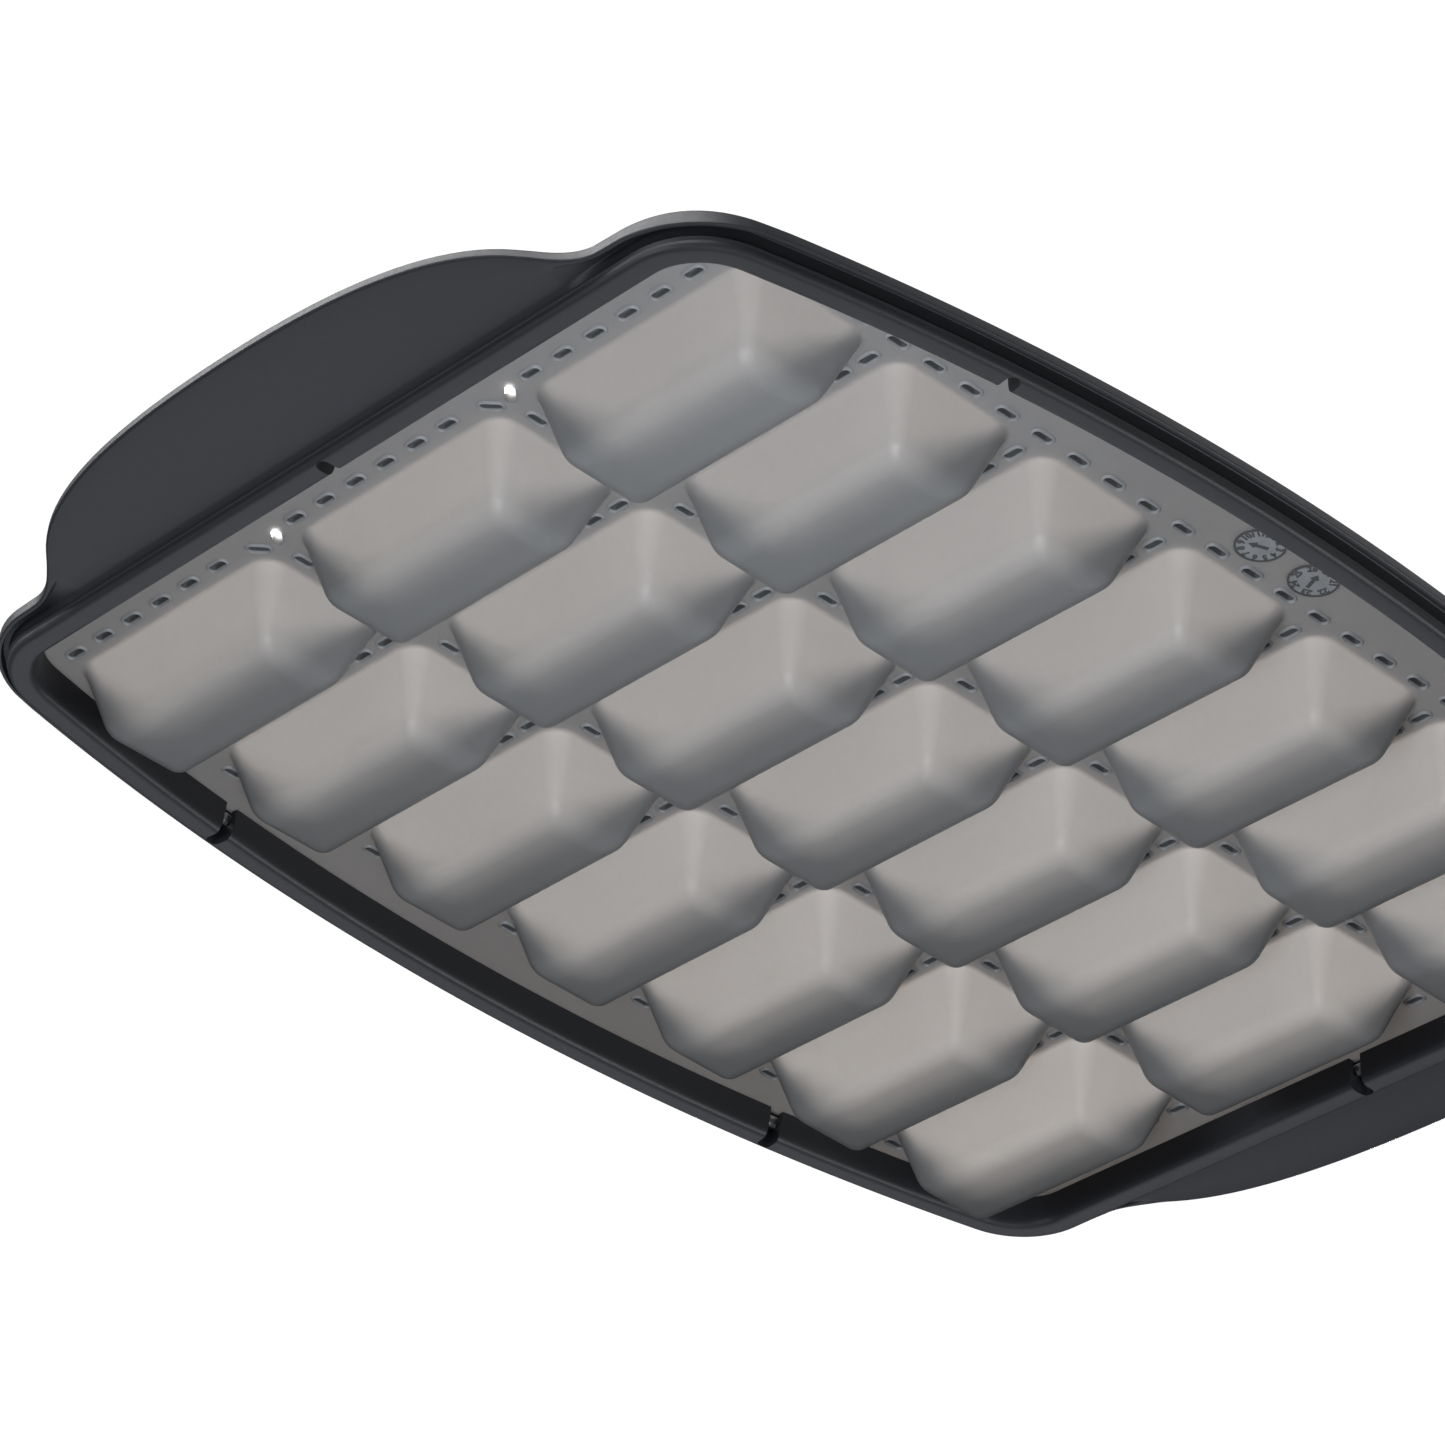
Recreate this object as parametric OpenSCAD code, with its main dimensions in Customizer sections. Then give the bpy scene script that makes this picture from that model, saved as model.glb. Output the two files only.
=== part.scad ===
// Framed silicone mould for small rectangular cakes.
// Resting on the bases of its cups: origin under the middle cup, +Z up, X along the tray.

/* [Cups] */
// Cups in one row along the tray
cups_in_row = 7; // [3:1:9]
// Rows of cups across the tray
cup_rows = 3; // [1:1:4]
// Distance from cup to cup along the tray
cup_pitch_x = 31.5; // [30:0.5:36]
// Distance from row to row
cup_pitch_y = 57; // [55:0.5:64]
// Width of a cup at the web, outside
cup_w = 26.1; // [22:0.1:27]
// Length of a cup at the web, outside
cup_l = 50.65; // [44:0.05:52]
// Depth of a cup below the web
cup_depth = 13.75; // [12:0.25:22]
// How far each long wall leans in down to the base
lean_long = 5.45; // [3:0.05:7]
// How far each end wall leans in down to the base
lean_end = 5; // [3:0.05:7]
// Upright corner radius of a cup at the web
cup_corner_top = 4.4; // [2:0.1:6]
// Upright corner radius of a cup at the base
cup_corner_base = 1.7; // [1:0.1:3]
// Rounding between walls and base, outside
base_round = 5.1; // [3:0.1:6]
// Wall and floor thickness of a cup
cup_wall = 1.2; // [0.8:0.1:2]

/* [Web] */
// Thickness of the web between the cups
web_t = 1.8; // [1:0.1:2.5]
// Web left between the end cups and the rim
end_strip = 10.25; // [8:0.25:16]
// Web left between the outer rows and the rim, at the end cups
row_strip = 2.1; // [1.8:0.1:8]
// Middle of the end slots, from the web's edge
slot_in = 8.7; // [6:0.1:9.2]
// How far the end slots sit off the middle of the strip between two rows
slot_shift = 1.35; // [0:0.05:2]
// Width of the slots through the web
slot_w = 1.75; // [1:0.05:2.5]
// Length of the slots through the web
slot_l = 4.6; // [3:0.1:6]

/* [Rim plan] */
// How much wider each long side bows out at the middle than at the end cups
bow_rise = 13.3; // [6:0.1:20]
// Corner radius of the web where it meets the rim
border_corner = 10; // [8:0.5:16]
// Reach of the rim beyond the web's edge
rim_reach = 8.2; // [8:0.1:11]
// How much nearer the rim's edge runs at the middle of a corner
corner_trim = 1.35; // [0:0.05:1.5]
// Reach of a handle beyond the web's edge, at its middle
handle_reach = 26.4; // [20:0.2:40]
// Straight stretch between a handle and the corner
handle_stop = 5; // [2:0.5:14]

/* [Rim section] */
// Depth of the bead below the web
bead_h = 5.9; // [5:0.1:9]
// Width of the bead
bead_w = 5.3; // [4.8:0.1:5.6]
// Depth of the outer lip below the web
lip_drop = 3.1; // [2:0.1:4]
// Height of the outer lip's edge along the sides
lip_h = 1.95; // [1.2:0.05:3]
// How much taller the lip's edge is at the corners
lip_rise = 0.65; // [0:0.05:1]
// Thickness of the outer lip
lip_t = 0.85; // [0.6:0.05:1.2]
// Thickness of the rim over the channel behind the lip
roof_t = 0.8; // [0.6:0.05:1.1]
// Thickness of the rim over the wire
cover_t = 0.65; // [0.5:0.05:1.2]
// Thickness of the handles
handle_t = 1.8; // [1.4:0.1:3]
// Slope of the handles, in degrees
handle_slope = 8.6; // [3:0.2:12]
// Crease between bead and handle, from the web's edge
crease_at = 6.5; // [6.2:0.1:7.5]

/* [Steel ring] */
// Diameter of the wire
wire_d = 2.6; // [2:0.1:2.8]
// Middle of the wire, from the web's edge
wire_at = 2.6; // [2.5:0.1:2.8]
// Gap round the wire and round the web's edge
fit_gap = 0.1; // [0.05:0.01:0.2]
// Mouth of the wire's channel, which the web's edge covers
mouth_w = 0.7; // [0.5:0.1:1]

/* [Notches] */
// Width of the notches in the bead
notch_w = 2.6; // [1.5:0.1:4]
// Reach of the notches under the bead
notch_reach = 4.6; // [3:0.1:4.8]
// Place of the side notches from the end of the web
notch_in = 53.3; // [20:0.1:70]

/* [Hidden] */

// Heights over the surface that the cups stand on
web_z = cup_depth;
web_top = web_z + web_t;
bead_z = web_z - bead_h;
lip_z = web_z - lip_drop;
edge_z = lip_z + lip_h;

// The web's edge at the rim: two bows, two straight ends and four round corners
cups_x = (cups_in_row - 1) * cup_pitch_x / 2 + cup_w / 2;
cups_y = (cup_rows - 1) * cup_pitch_y / 2 + cup_l / 2;
border_x = cups_x + end_strip;
bow_r = (pow(cups_x, 2) + pow(bow_rise, 2)) / (2 * bow_rise);
bow_y = cups_y + row_strip + bow_rise - bow_r;
corner_x = border_x - border_corner;
corner_y = bow_y + sqrt(pow(bow_r - border_corner, 2) - pow(corner_x, 2));
corner_a = acos(corner_x / (bow_r - border_corner));

// The rim's own edge turns its corners on a larger radius, round a centre of its own
edge_r = border_corner + rim_reach + corner_trim / (sqrt(2) - 1);
edge_x = border_x + rim_reach - edge_r;
edge_y = bow_y + sqrt(pow(bow_r + rim_reach - edge_r, 2) - pow(edge_x, 2));

// The wire lies in a channel that its own size sets. The web's edge lies in a seat over the channel's mouth
channel_in = wire_at - wire_d / 2 - fit_gap;
channel_out = wire_at + wire_d / 2 + fit_gap;
channel_z = web_z - wire_d - 2 * fit_gap;
seat_w = channel_in + mouth_w;
web_grip = seat_w - fit_gap;

// Lean of the cup walls, taken as one angle for the rounding at the base
lean_a = atan((lean_long + lean_end) / 2 / cup_depth);

// Part of the lip's rise that is left at the necks
neck_rise = 0.35;

// Steps of the curves
bow_steps = 10;
corner_steps = 5;
shoulder_steps = 7;
neck_steps = 4;
cup_corner_steps = 3;
cut = 1;

// A place on the border is [x, y, direction outward], and at the rim also its reach, its share of handle
// and how much taller its lip is
function bow_place(t) =
    let (a = corner_a + (180 - 2 * corner_a) * t) [bow_r * cos(a), bow_y + bow_r * sin(a), a];
function corner_place(t) =
    let (a = corner_a * t)
    [corner_x + border_corner * cos(a), corner_y + border_corner * sin(a), a,
        corner_reach(a), 0, lip_rise * (sin(180 * t) + neck_rise * (1 - t))];
function corner_reach(a) =
    let (x = corner_x - edge_x, y = corner_y - edge_y, along = x * cos(a) + y * sin(a))
    sqrt(pow(along, 2) - pow(x, 2) - pow(y, 2) + pow(edge_r, 2)) - along - border_corner;
function rest_of(p) = [for (k = [3:1:len(p) - 1]) p[k]];
function half_turned(p) = concat([-p[0], -p[1], p[2] + 180], rest_of(p));
function flipped_y(p) = concat([p[0], -p[1], -p[2]], rest_of(p));
function moved_out(p, d) = [p[0] + d * cos(p[2]), p[1] + d * sin(p[2])];

// Half of the border, from the lower right corner over the right end to the upper left one
function half_border(end_places) = concat(
    [for (i = [corner_steps:-1:0]) flipped_y(corner_place(i / corner_steps))],
    end_places,
    [for (i = [0:corner_steps]) corner_place(i / corner_steps)],
    [for (i = [1:bow_steps - 1]) bow_place(i / bow_steps)]);
function whole_border(end_places) =
    let (h = half_border(end_places)) concat(h, [for (p = h) half_turned(p)]);

// Outline of a handle: a full shoulder that runs out into a hollow neck
handle_half = corner_y - handle_stop;
shoulder_at = [0.37 * (handle_reach - rim_reach) + rim_reach, 0.83 * handle_half];
function curve(a, b, c, d, t) =
    a * pow(1 - t, 3) + b * 3 * t * pow(1 - t, 2) + c * 3 * t * t * (1 - t) + d * pow(t, 3);
function shoulder(t) = curve([handle_reach, 0], [handle_reach, 0.35 * handle_half],
    [0.88 * (handle_reach - rim_reach) + rim_reach, 0.68 * handle_half], shoulder_at, t);
function neck(t) = curve(shoulder_at,
    [0.17 * (handle_reach - rim_reach) + rim_reach, 0.89 * handle_half],
    [rim_reach, 0.94 * handle_half], [rim_reach, handle_half], t);
handle_side = concat([for (i = [0:shoulder_steps]) shoulder(i / shoulder_steps)],
    [for (i = [1:neck_steps]) neck(i / neck_steps)]);
handle_edge = concat([for (i = [len(handle_side) - 1:-1:1]) [handle_side[i][0], -handle_side[i][1]]],
    handle_side);

// Along a handle the share of handle goes from 0 at the neck to 1
function handle_share(y) = max(0, min(1, (handle_half - abs(y)) / (0.14 * handle_half)));
handle_places = [for (p = handle_edge) let (share = handle_share(p[1]))
    [border_x, p[1], 0, p[0], share, lip_rise * neck_rise * (1 - share)]];
rim_places = [for (p = whole_border(handle_places)) len(p) > 3 ? p : concat(p, [rim_reach, 0, 0])];
plain_places = whole_border([]);

// Underside of a handle at the distance d from the web's edge
function handle_z(d) = lip_z + (d - crease_at) * tan(handle_slope);

// Section of the rim as [distance from the web's edge, height], inner edge first
function bead_part() = [
    [0, web_z], [0.3, bead_z + 2], [0.75, bead_z + 0.6], [1.5, bead_z],
    [bead_w - 0.8, bead_z], [bead_w - 0.1, bead_z + 0.6]];
function top_z(d) = web_top - (web_top - edge_z) * (d - seat_w) / (rim_reach - seat_w);
function lip_part(e, rise) = let (edge = edge_z + rise, roof = top_z(rim_reach - lip_t) - roof_t) [
    [bead_w + 0.1, roof], [e - lip_t, roof], [e - lip_t + 0.1, lip_z], [e - 0.25, lip_z],
    [e, lip_z + 0.25], [e, edge - 0.25], [e - 0.3, edge],
    [bead_w + 0.45 * (e - bead_w), 0.45 * edge + 0.55 * top_z(bead_w)], [bead_w, top_z(bead_w)]];
function handle_part(e) = let (edge = handle_z(e), middle = crease_at + 0.5 * (e - crease_at),
    outer = max(crease_at + 0.6 * (e - crease_at), e - 4)) [
    [crease_at, lip_z], [middle, handle_z(middle)], [outer, handle_z(outer)],
    [e - 0.9, edge + 0.05], [e, edge + 0.7], [e, edge + handle_t - 0.3], [e - 0.4, edge + handle_t],
    [crease_at + 1.6, handle_z(crease_at + 1.6) + handle_t + 0.1],
    [crease_at + 0.3, top_z(bead_w)]];
function seat_part() = [
    [channel_out + 0.4, max(top_z(channel_out + 0.4), web_z + cover_t)], [seat_w + 0.5, web_top],
    [seat_w, web_top - 0.15], [seat_w, web_z], [channel_out, web_z], [channel_out, channel_z],
    [channel_in, channel_z], [channel_in, web_z]];
function rim_section(e, share, rise) = concat(bead_part(),
    lip_part(e, rise) * (1 - share) + handle_part(e) * share, seat_part());

// A solid swept once round the tray, from one section per place
module ring_of_sections(places, sections) {
    m = len(sections[0]);
    n = len(places);
    points = [for (i = [0:n - 1]) for (s = sections[i])
        let (q = moved_out(places[i], s[0])) [q[0], q[1], s[1]]];
    faces = [for (i = [0:n - 1]) for (j = [0:m - 1])
        let (a = i * m + j, b = i * m + (j + 1) % m,
            c = ((i + 1) % n) * m + (j + 1) % m, d = ((i + 1) % n) * m + j)
        each [[a, b, c], [a, c, d]]];
    polyhedron(points, faces, convexity = 10);
}

// One level of a cup: a rectangle with round corners
function round_rectangle(x, y, r, z) = [for (k = [0:3]) for (i = [0:cup_corner_steps])
    let (a = 90 * k + 90 * i / cup_corner_steps,
        sx = (k == 0 || k == 3) ? 1 : -1, sy = k < 2 ? 1 : -1)
    [sx * (x - r) + r * cos(a), sy * (y - r) + r * sin(a), z]];

// Levels of a cup's outside (skin 0) or of its cavity (skin = wall), from the base up
function cup_level(z, inset, skin) =
    let (r = cup_corner_base + (cup_corner_top - cup_corner_base) * min(1, z / cup_depth))
    round_rectangle(cup_w / 2 - skin / cos(lean_a) - lean_long * (1 - z / cup_depth) - inset,
        cup_l / 2 - skin / cos(lean_a) - lean_end * (1 - z / cup_depth) - inset,
        max(r - 0.6 * skin - 0.15 * inset, 0.6), z);
function cup_levels(skin, top, round_r, steps) =
    let (turn = 90 - lean_a, foot = round_r * tan(turn / 2))
    concat([for (i = [0:steps])
        let (b = turn * i / steps, up = round_r * (1 - cos(b)))
        cup_level(skin + up, foot - round_r * sin(b) + up * tan(lean_a), skin)],
        [cup_level(top, 0, skin)]);

module stacked_levels(levels) {
    m = len(levels[0]);
    n = len(levels);
    points = [for (l = levels) each l];
    sides = [for (i = [0:n - 2]) for (j = [0:m - 1])
        let (a = i * m + j, b = i * m + (j + 1) % m, c = a + m, d = b + m)
        each [[a, c, d], [a, d, b]]];
    polyhedron(points, concat([[for (j = [0:m - 1]) j]], sides,
        [[for (j = [m - 1:-1:0]) (n - 1) * m + j]]), convexity = 4);
}

module each_cup() {
    for (i = [0:cups_in_row - 1], j = [0:cup_rows - 1])
        translate([(i - (cups_in_row - 1) / 2) * cup_pitch_x, (j - (cup_rows - 1) / 2) * cup_pitch_y, 0])
            children();
}

module cup_outside() {
    stacked_levels(cup_levels(0, web_z + web_t / 2, base_round, 3));
}

module cup_cavity() {
    stacked_levels(cup_levels(cup_wall, web_top + cut, base_round - cup_wall, 2));
}

module web() {
    translate([0, 0, web_z])
        linear_extrude(web_t)
            polygon([for (p = plain_places) moved_out(p, web_grip)]);
}

// Slots beside the end cups, on the strips between the rows, all slanting the same way
module web_slot() {
    for (s = [-1, 1])
        translate([s * (slot_l - slot_w) / 2, 0, 0]) cylinder(h = web_t + 2 * cut, d = slot_w, $fn = 24);
    translate([-(slot_l - slot_w) / 2, -slot_w / 2, 0]) cube([slot_l - slot_w, slot_w, web_t + 2 * cut]);
}

module web_slots() {
    for (side = [-1, 1], j = [0.5:1:cup_rows - 1])
        translate([side * (border_x - slot_in), (j - (cup_rows - 1) / 2) * cup_pitch_y + side * slot_shift,
            web_z - cut])
            rotate([0, 0, 45]) web_slot();
}

module mould_tray() {
    color([0.52, 0.52, 0.53])
        difference() {
            union() {
                web();
                each_cup() cup_outside();
            }
            each_cup() cup_cavity();
            web_slots();
        }
}

// A notch runs up the bead's inner wall, ends round under the bead and lays the wire bare
module notch() {
    notch_h = cut + bead_h + fit_gap;
    translate([-cut, -notch_w / 2, 0]) cube([notch_reach - notch_w / 2 + cut, notch_w, notch_h]);
    translate([notch_reach - notch_w / 2, 0, 0]) cylinder(h = notch_h, d = notch_w, $fn = 24);
}

module notches() {
    notch_x = border_x - notch_in;
    bow_a = asin(notch_x / bow_r);
    for (turned = [0, 180])
        rotate([0, 0, turned])
            translate([0, 0, bead_z - cut]) {
                translate([border_x, 0, 0]) notch();
                for (side = [-1, 1])
                    translate([side * notch_x, bow_y + bow_r * cos(bow_a), 0])
                        rotate([0, 0, 90 - side * bow_a]) notch();
            }
}

module rim_frame() {
    color([0.2, 0.2, 0.21])
        difference() {
            ring_of_sections(rim_places, [for (p = rim_places) rim_section(p[3], p[4], p[5])]);
            notches();
        }
}

module steel_ring() {
    wire_z = channel_z + fit_gap + wire_d / 2;
    wire_sides = 10;
    section = [for (k = [0:wire_sides - 1]) let (a = 360 * k / wire_sides)
        [wire_at + wire_d / 2 * cos(a), wire_z + wire_d / 2 * sin(a)]];
    color([0.75, 0.76, 0.78])
        ring_of_sections(plain_places, [for (p = plain_places) section]);
}

mould_tray();
rim_frame();
steel_ring();
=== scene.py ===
from math import acos, asin, atan, cos, pi, radians, sin, sqrt, tan

import bmesh
import bpy
from mathutils import Matrix, Vector
from mathutils.geometry import delaunay_2d_cdt
from mathutils.kdtree import KDTree


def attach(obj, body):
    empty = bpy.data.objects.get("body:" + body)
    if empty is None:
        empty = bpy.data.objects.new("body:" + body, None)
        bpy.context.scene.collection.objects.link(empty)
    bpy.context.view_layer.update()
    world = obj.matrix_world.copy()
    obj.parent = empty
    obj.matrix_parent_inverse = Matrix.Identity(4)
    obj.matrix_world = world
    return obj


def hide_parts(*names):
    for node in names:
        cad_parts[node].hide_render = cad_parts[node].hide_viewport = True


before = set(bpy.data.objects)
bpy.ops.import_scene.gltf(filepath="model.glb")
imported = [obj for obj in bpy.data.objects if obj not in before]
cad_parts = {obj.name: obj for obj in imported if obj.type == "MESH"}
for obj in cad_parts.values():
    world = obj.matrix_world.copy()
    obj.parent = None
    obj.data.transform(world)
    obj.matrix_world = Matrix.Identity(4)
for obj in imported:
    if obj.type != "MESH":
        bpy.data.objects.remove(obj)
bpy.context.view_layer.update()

# A millimetre in metres. The sizes of the tray are in millimetres, and the solids have the same ones
MM = 0.001

# Cups
CUPS_IN_ROW = 7
CUP_ROWS = 3
CUP_PITCH_X = 31.5
CUP_PITCH_Y = 57.0
CUP_W = 26.1
CUP_L = 50.65
CUP_DEPTH = 13.75
LEAN_LONG = 5.45
LEAN_END = 5.0
CUP_CORNER_TOP = 4.4
CUP_CORNER_BASE = 1.7
LEAST_CORNER = 0.6
BASE_ROUND = 5.1
CUP_WALL = 1.2

# Web, its slots and its bowed border
WEB_T = 1.8
END_STRIP = 10.25
ROW_STRIP = 2.1
SLOT_IN = 8.7
SLOT_SHIFT = 1.35
SLOT_W = 1.75
SLOT_L = 4.6
BOW_RISE = 13.3
BORDER_CORNER = 10.0

# Rim: bead, lip and handles
RIM_REACH = 8.2
CORNER_TRIM = 1.35
BEAD_H = 5.9
BEAD_W = 5.3
LIP_DROP = 3.1
LIP_H = 1.95
LIP_RISE = 0.65
LIP_T = 0.85
ROOF_T = 0.8
COVER_T = 0.65
HANDLE_REACH = 26.4
HANDLE_STOP = 5.0
HANDLE_T = 1.8
HANDLE_SLOPE = radians(8.6)
CREASE_AT = 6.5

# A handle grows out of the rim over the first share of its half length. The lip keeps the second share of
# its rise at the neck
NECK_SHARE = 0.14
NECK_RISE = 0.35

# Wire, its channel and the six notches that lay it bare
WIRE_D = 2.6
WIRE_AT = 2.6
FIT_GAP = 0.1
MOUTH_W = 0.7
NOTCH_W = 2.6
NOTCH_REACH = 4.6
NOTCH_IN = 53.3
CUT_PAST = 1.0

# Fine forms that only the skins have: the cups' round mouths and a ridge on the bead's outer side
MOUTH_ROUND = 0.5
RIDGE_DROP = 4.1

# Heights and places that follow from these sizes
WEB_Z = CUP_DEPTH
WEB_TOP = WEB_Z + WEB_T
BEAD_Z = WEB_Z - BEAD_H
LIP_Z = WEB_Z - LIP_DROP
RIDGE_Z = WEB_Z - RIDGE_DROP
EDGE_Z = LIP_Z + LIP_H
CUPS_X = (CUPS_IN_ROW - 1) * CUP_PITCH_X / 2 + CUP_W / 2
CUPS_Y = (CUP_ROWS - 1) * CUP_PITCH_Y / 2 + CUP_L / 2
BORDER_X = CUPS_X + END_STRIP
BOW_R = (CUPS_X ** 2 + BOW_RISE ** 2) / (2 * BOW_RISE)
BOW_Y = CUPS_Y + ROW_STRIP + BOW_RISE - BOW_R
CORNER_X = BORDER_X - BORDER_CORNER
CORNER_Y = BOW_Y + sqrt((BOW_R - BORDER_CORNER) ** 2 - CORNER_X ** 2)
CORNER_A = acos(CORNER_X / (BOW_R - BORDER_CORNER))
EDGE_R = BORDER_CORNER + RIM_REACH + CORNER_TRIM / (sqrt(2) - 1)
EDGE_X = BORDER_X + RIM_REACH - EDGE_R
EDGE_Y = BOW_Y + sqrt((BOW_R + RIM_REACH - EDGE_R) ** 2 - EDGE_X ** 2)
CHANNEL_IN = WIRE_AT - WIRE_D / 2 - FIT_GAP
CHANNEL_OUT = WIRE_AT + WIRE_D / 2 + FIT_GAP
CHANNEL_Z = WEB_Z - WIRE_D - 2 * FIT_GAP
SEAT_W = CHANNEL_IN + MOUTH_W
WEB_GRIP = SEAT_W - FIT_GAP
LEAN_A = atan((LEAN_LONG + LEAN_END) / 2 / CUP_DEPTH)
HANDLE_HALF = CORNER_Y - HANDLE_STOP

# Steps of the curves, finer than in the solids
BOW_STEPS = 56
CORNER_STEPS = 14
SHOULDER_STEPS = 22
NECK_STEPS = 14
ROUNDING_STEPS = 3
NOTCH_STEPS = 12
CUP_CORNER_STEPS = 8
BASE_STEPS = 7
WALL_STEPS = 4
MOUTH_STEPS = 3
OBLONG_STEPS = 6

# Points nearer than this become one: in any mesh, in the dials' numbers and in a flat plate
WELD = 0.002
WELD_NUMBERS = 0.0001
WELD_PLATE = 0.0000001

# Faces that meet at more than this angle keep a crisp edge between them
CRISP_PLAIN = radians(38)
CRISP_RIM = radians(32)
CRISP_TRAY = radians(50)


# Shared ways of making meshes
def seen_mesh(name, verts, faces, crisp=CRISP_PLAIN):
    """A new piece from places in millimetres, with its seams welded and its normals facing out."""
    shape = bmesh.new()
    made = [shape.verts.new(Vector(v) * MM) for v in verts]
    for face in faces:
        if len(set(face)) > 2:
            shape.faces.new([made[k] for k in face])
    bmesh.ops.remove_doubles(shape, verts=shape.verts, dist=WELD * MM)
    piece = linked_piece(name, shape)
    piece.data.shade_smooth()
    piece.data.set_sharp_from_angle(angle=crisp)
    return piece


def linked_piece(name, shape):
    """Turns a shape in metres into a piece of the scene, with its normals facing out."""
    bmesh.ops.recalc_face_normals(shape, faces=shape.faces)
    mesh = bpy.data.meshes.new(name)
    shape.to_mesh(mesh)
    shape.free()
    piece = bpy.data.objects.new(name, mesh)
    bpy.context.scene.collection.objects.link(piece)
    return piece


def apply_modifier(piece, kind, **settings):
    """Adds one modifier to a piece and keeps its result as the piece's mesh."""
    modifier = piece.modifiers.new(kind.lower(), kind)
    for name, value in settings.items():
        setattr(modifier, name, value)
    finished = piece.evaluated_get(bpy.context.evaluated_depsgraph_get())
    mesh = bpy.data.meshes.new_from_object(finished)
    piece.modifiers.clear()
    piece.data = mesh


def turned(points, x, y, a):
    """Points turned by a degrees round the origin and then moved to a place. Heights stay."""
    c, s = cos(radians(a)), sin(radians(a))
    return [(x + c * p[0] - s * p[1], y + s * p[0] + c * p[1], *p[2:]) for p in points]


# The border of the web, as places of (x, y, direction outward)
def bow_place(t):
    """A place on the bowed long side, from one corner at 0 to the other at 1."""
    a = CORNER_A + (pi - 2 * CORNER_A) * t
    return (BOW_R * cos(a), BOW_Y + BOW_R * sin(a), a)


def corner_place(t):
    """A place on a round corner, from the end at 0 to the long side at 1."""
    a = CORNER_A * t
    return (CORNER_X + BORDER_CORNER * cos(a), CORNER_Y + BORDER_CORNER * sin(a), a)


def bezier(a, b, c, d, t):
    """A point on the curve from a to d that b and c pull."""
    weights = ((1 - t) ** 3, 3 * t * (1 - t) ** 2, 3 * t * t * (1 - t), t ** 3)
    return tuple(sum(w * p[k] for w, p in zip(weights, (a, b, c, d))) for k in (0, 1))


def handle_outline():
    """Half of a handle's edge, from its middle to the neck, as (reach, distance along the end)."""
    wing = HANDLE_REACH - RIM_REACH
    shoulder = (RIM_REACH + 0.37 * wing, 0.83 * HANDLE_HALF)
    wide = (RIM_REACH + 0.88 * wing, 0.68 * HANDLE_HALF)
    hollow = (RIM_REACH + 0.17 * wing, 0.89 * HANDLE_HALF)
    wing_curve = ((HANDLE_REACH, 0), (HANDLE_REACH, 0.35 * HANDLE_HALF), wide, shoulder)
    neck_curve = (shoulder, hollow, (RIM_REACH, 0.94 * HANDLE_HALF), (RIM_REACH, HANDLE_HALF))
    return ([bezier(*wing_curve, i / SHOULDER_STEPS) for i in range(SHOULDER_STEPS + 1)] +
            [bezier(*neck_curve, i / NECK_STEPS) for i in range(1, NECK_STEPS + 1)])


def corner_reach(a):
    """How far the rim's own corner lies out from the web's, in the direction a."""
    x, y = CORNER_X - EDGE_X, CORNER_Y - EDGE_Y
    along = x * cos(a) + y * sin(a)
    return sqrt(along ** 2 - x ** 2 - y ** 2 + EDGE_R ** 2) - along - BORDER_CORNER


def handle_share(y):
    """How far the rim is handle at a place along the end: 0 at the neck, 1 beyond it."""
    return max(0.0, min(1.0, (HANDLE_HALF - abs(y)) / (NECK_SHARE * HANDLE_HALF)))


def rim_places():
    """Places round the tray as (x, y, direction, reach of the rim, share of handle, rise of the lip)."""
    side = handle_outline()
    edge = [(r, -y) for r, y in reversed(side[1:])] + side
    end = [(BORDER_X, y, 0.0, r, handle_share(y), LIP_RISE * NECK_RISE * (1 - handle_share(y)))
           for r, y in edge]
    corner = []
    for i in range(CORNER_STEPS + 1):
        t = i / CORNER_STEPS
        x, y, a = corner_place(t)
        rise = LIP_RISE * (sin(pi * t) + NECK_RISE * (1 - t))
        corner.append((x, y, a, corner_reach(a), 0.0, rise))
    bow = [(*bow_place(i / BOW_STEPS), RIM_REACH, 0.0, 0.0) for i in range(1, BOW_STEPS)]
    half = [(x, -y, -a, *rest) for x, y, a, *rest in reversed(corner)] + end + corner + bow
    return half + [(-x, -y, a + pi, *rest) for x, y, a, *rest in half]


def moved_out(place, d):
    """The point that lies a distance outward from a place on the border."""
    return (place[0] + d * cos(place[2]), place[1] + d * sin(place[2]))


PLACES = rim_places()


# Rim
def handle_z(d):
    """Height of the handle's underside at a distance out from the border."""
    return LIP_Z + (d - CREASE_AT) * tan(HANDLE_SLOPE)


def top_z(d):
    """Height of the rim's sloping top at a distance out from the border."""
    return WEB_TOP - (WEB_TOP - EDGE_Z) * (d - SEAT_W) / (RIM_REACH - SEAT_W)


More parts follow.
